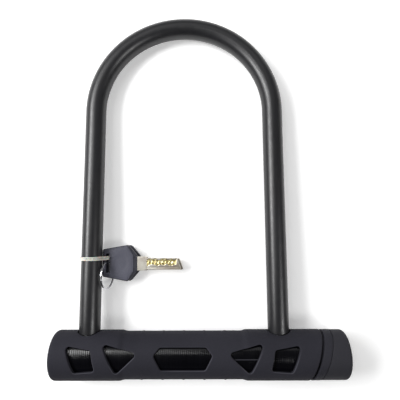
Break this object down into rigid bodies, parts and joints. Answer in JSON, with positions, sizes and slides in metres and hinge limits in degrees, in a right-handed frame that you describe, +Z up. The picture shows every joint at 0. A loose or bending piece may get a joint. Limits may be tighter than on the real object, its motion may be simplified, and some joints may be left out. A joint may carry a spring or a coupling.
{
  "type": "u lock",
  "caption": "Bicycle U-lock: coated steel shackle in a windowed crossbar with an end cylinder, and spare keys on a ring tied to one leg.",
  "frame": {"origin": "centre of the lock's outline on the surface it lies on", "axes": "+X along the crossbar toward the lock cylinder, +Y from the crossbar toward the arch, +Z up off the surface"},
  "size_m": [0.219, 0.2886, 0.036],
  "materials": {
    "sleeve_plastic": "moulded, fine grain",
    "tube_steel": "gloss black, turned",
    "collar_plastic": "moulded",
    "cap_plastic": "moulded, fine grain",
    "coating_vinyl": "satin vinyl",
    "core_steel": "hardened steel",
    "bush_nylon": "nylon",
    "pad_rubber": "soft rubber",
    "bearing_plastic": "acetal",
    "housing_zinc": "die-cast zinc",
    "plug_brass": "turned brass",
    "wafer_brass": "stamped brass",
    "spring_steel": "bright",
    "screw_steel": "black oxide",
    "bar_steel": "hardened steel",
    "bow_plastic": "moulded, matt",
    "blade_nickel": "nickel-plated brass",
    "ring_steel": "nickel-plated spring steel",
    "tie_nylon": "natural nylon",
    "seal_rubber": "rubber"
  },
  "bodies": {
    "crossbar": {"crossbar_sleeve": "sleeve_plastic", "crossbar_tube": "tube_steel", "collar_ring": "collar_plastic", "end_cap": "cap_plastic", "cap_screws": "screw_steel", "leg_bush_left": "bush_nylon", "leg_bush_right": "bush_nylon", "foot_pad_left": "pad_rubber", "foot_pad_right": "pad_rubber", "bar_bearing_end": "bearing_plastic", "bar_bearing_left": "bearing_plastic", "bar_bearing_right": "bearing_plastic", "lock_housing": "housing_zinc", "housing_pin": "spring_steel", "nose_seal": "seal_rubber"},
    "plug": {"lock_plug": "plug_brass", "wafers": "wafer_brass", "wafer_springs": "spring_steel", "plug_clip": "spring_steel", "tailpiece": "bar_steel", "locking_bar": "bar_steel"},
    "shackle": {"shackle_core": "core_steel", "shackle_coating": "coating_vinyl"},
    "keys": {"cable_tie": "tie_nylon", "key_bow_1": "bow_plastic", "key_blade_1": "blade_nickel", "key_bow_2": "bow_plastic", "key_blade_2": "blade_nickel"},
    "ring": {"split_ring": "ring_steel"}
  },
  "joints": [
    {"name": "shackle_slide", "type": "slide", "parent": "crossbar", "child": "shackle", "axis": [0, 0.9993, -0.0381], "range_m": [0, 0.06]},
    {"name": "key_turn", "type": "hinge", "parent": "crossbar", "child": "plug", "pos_m": [-0.0119, -0.12631, 0.018], "axis": [1, 0, 0], "range_deg": [0, 90]},
    {"name": "tie_swing", "type": "hinge", "parent": "shackle", "child": "keys", "pos_m": [-0.0839, -0.05496, 0.01528], "axis": [0, -0.9993, 0.0381], "range_deg": [0, 180]},
    {"name": "ring_spin", "type": "hinge", "parent": "keys", "child": "ring", "pos_m": [-0.0726, -0.06775, 0.01108], "axis": [0.9744, 0, 0.225], "continuous": true}
  ]
}
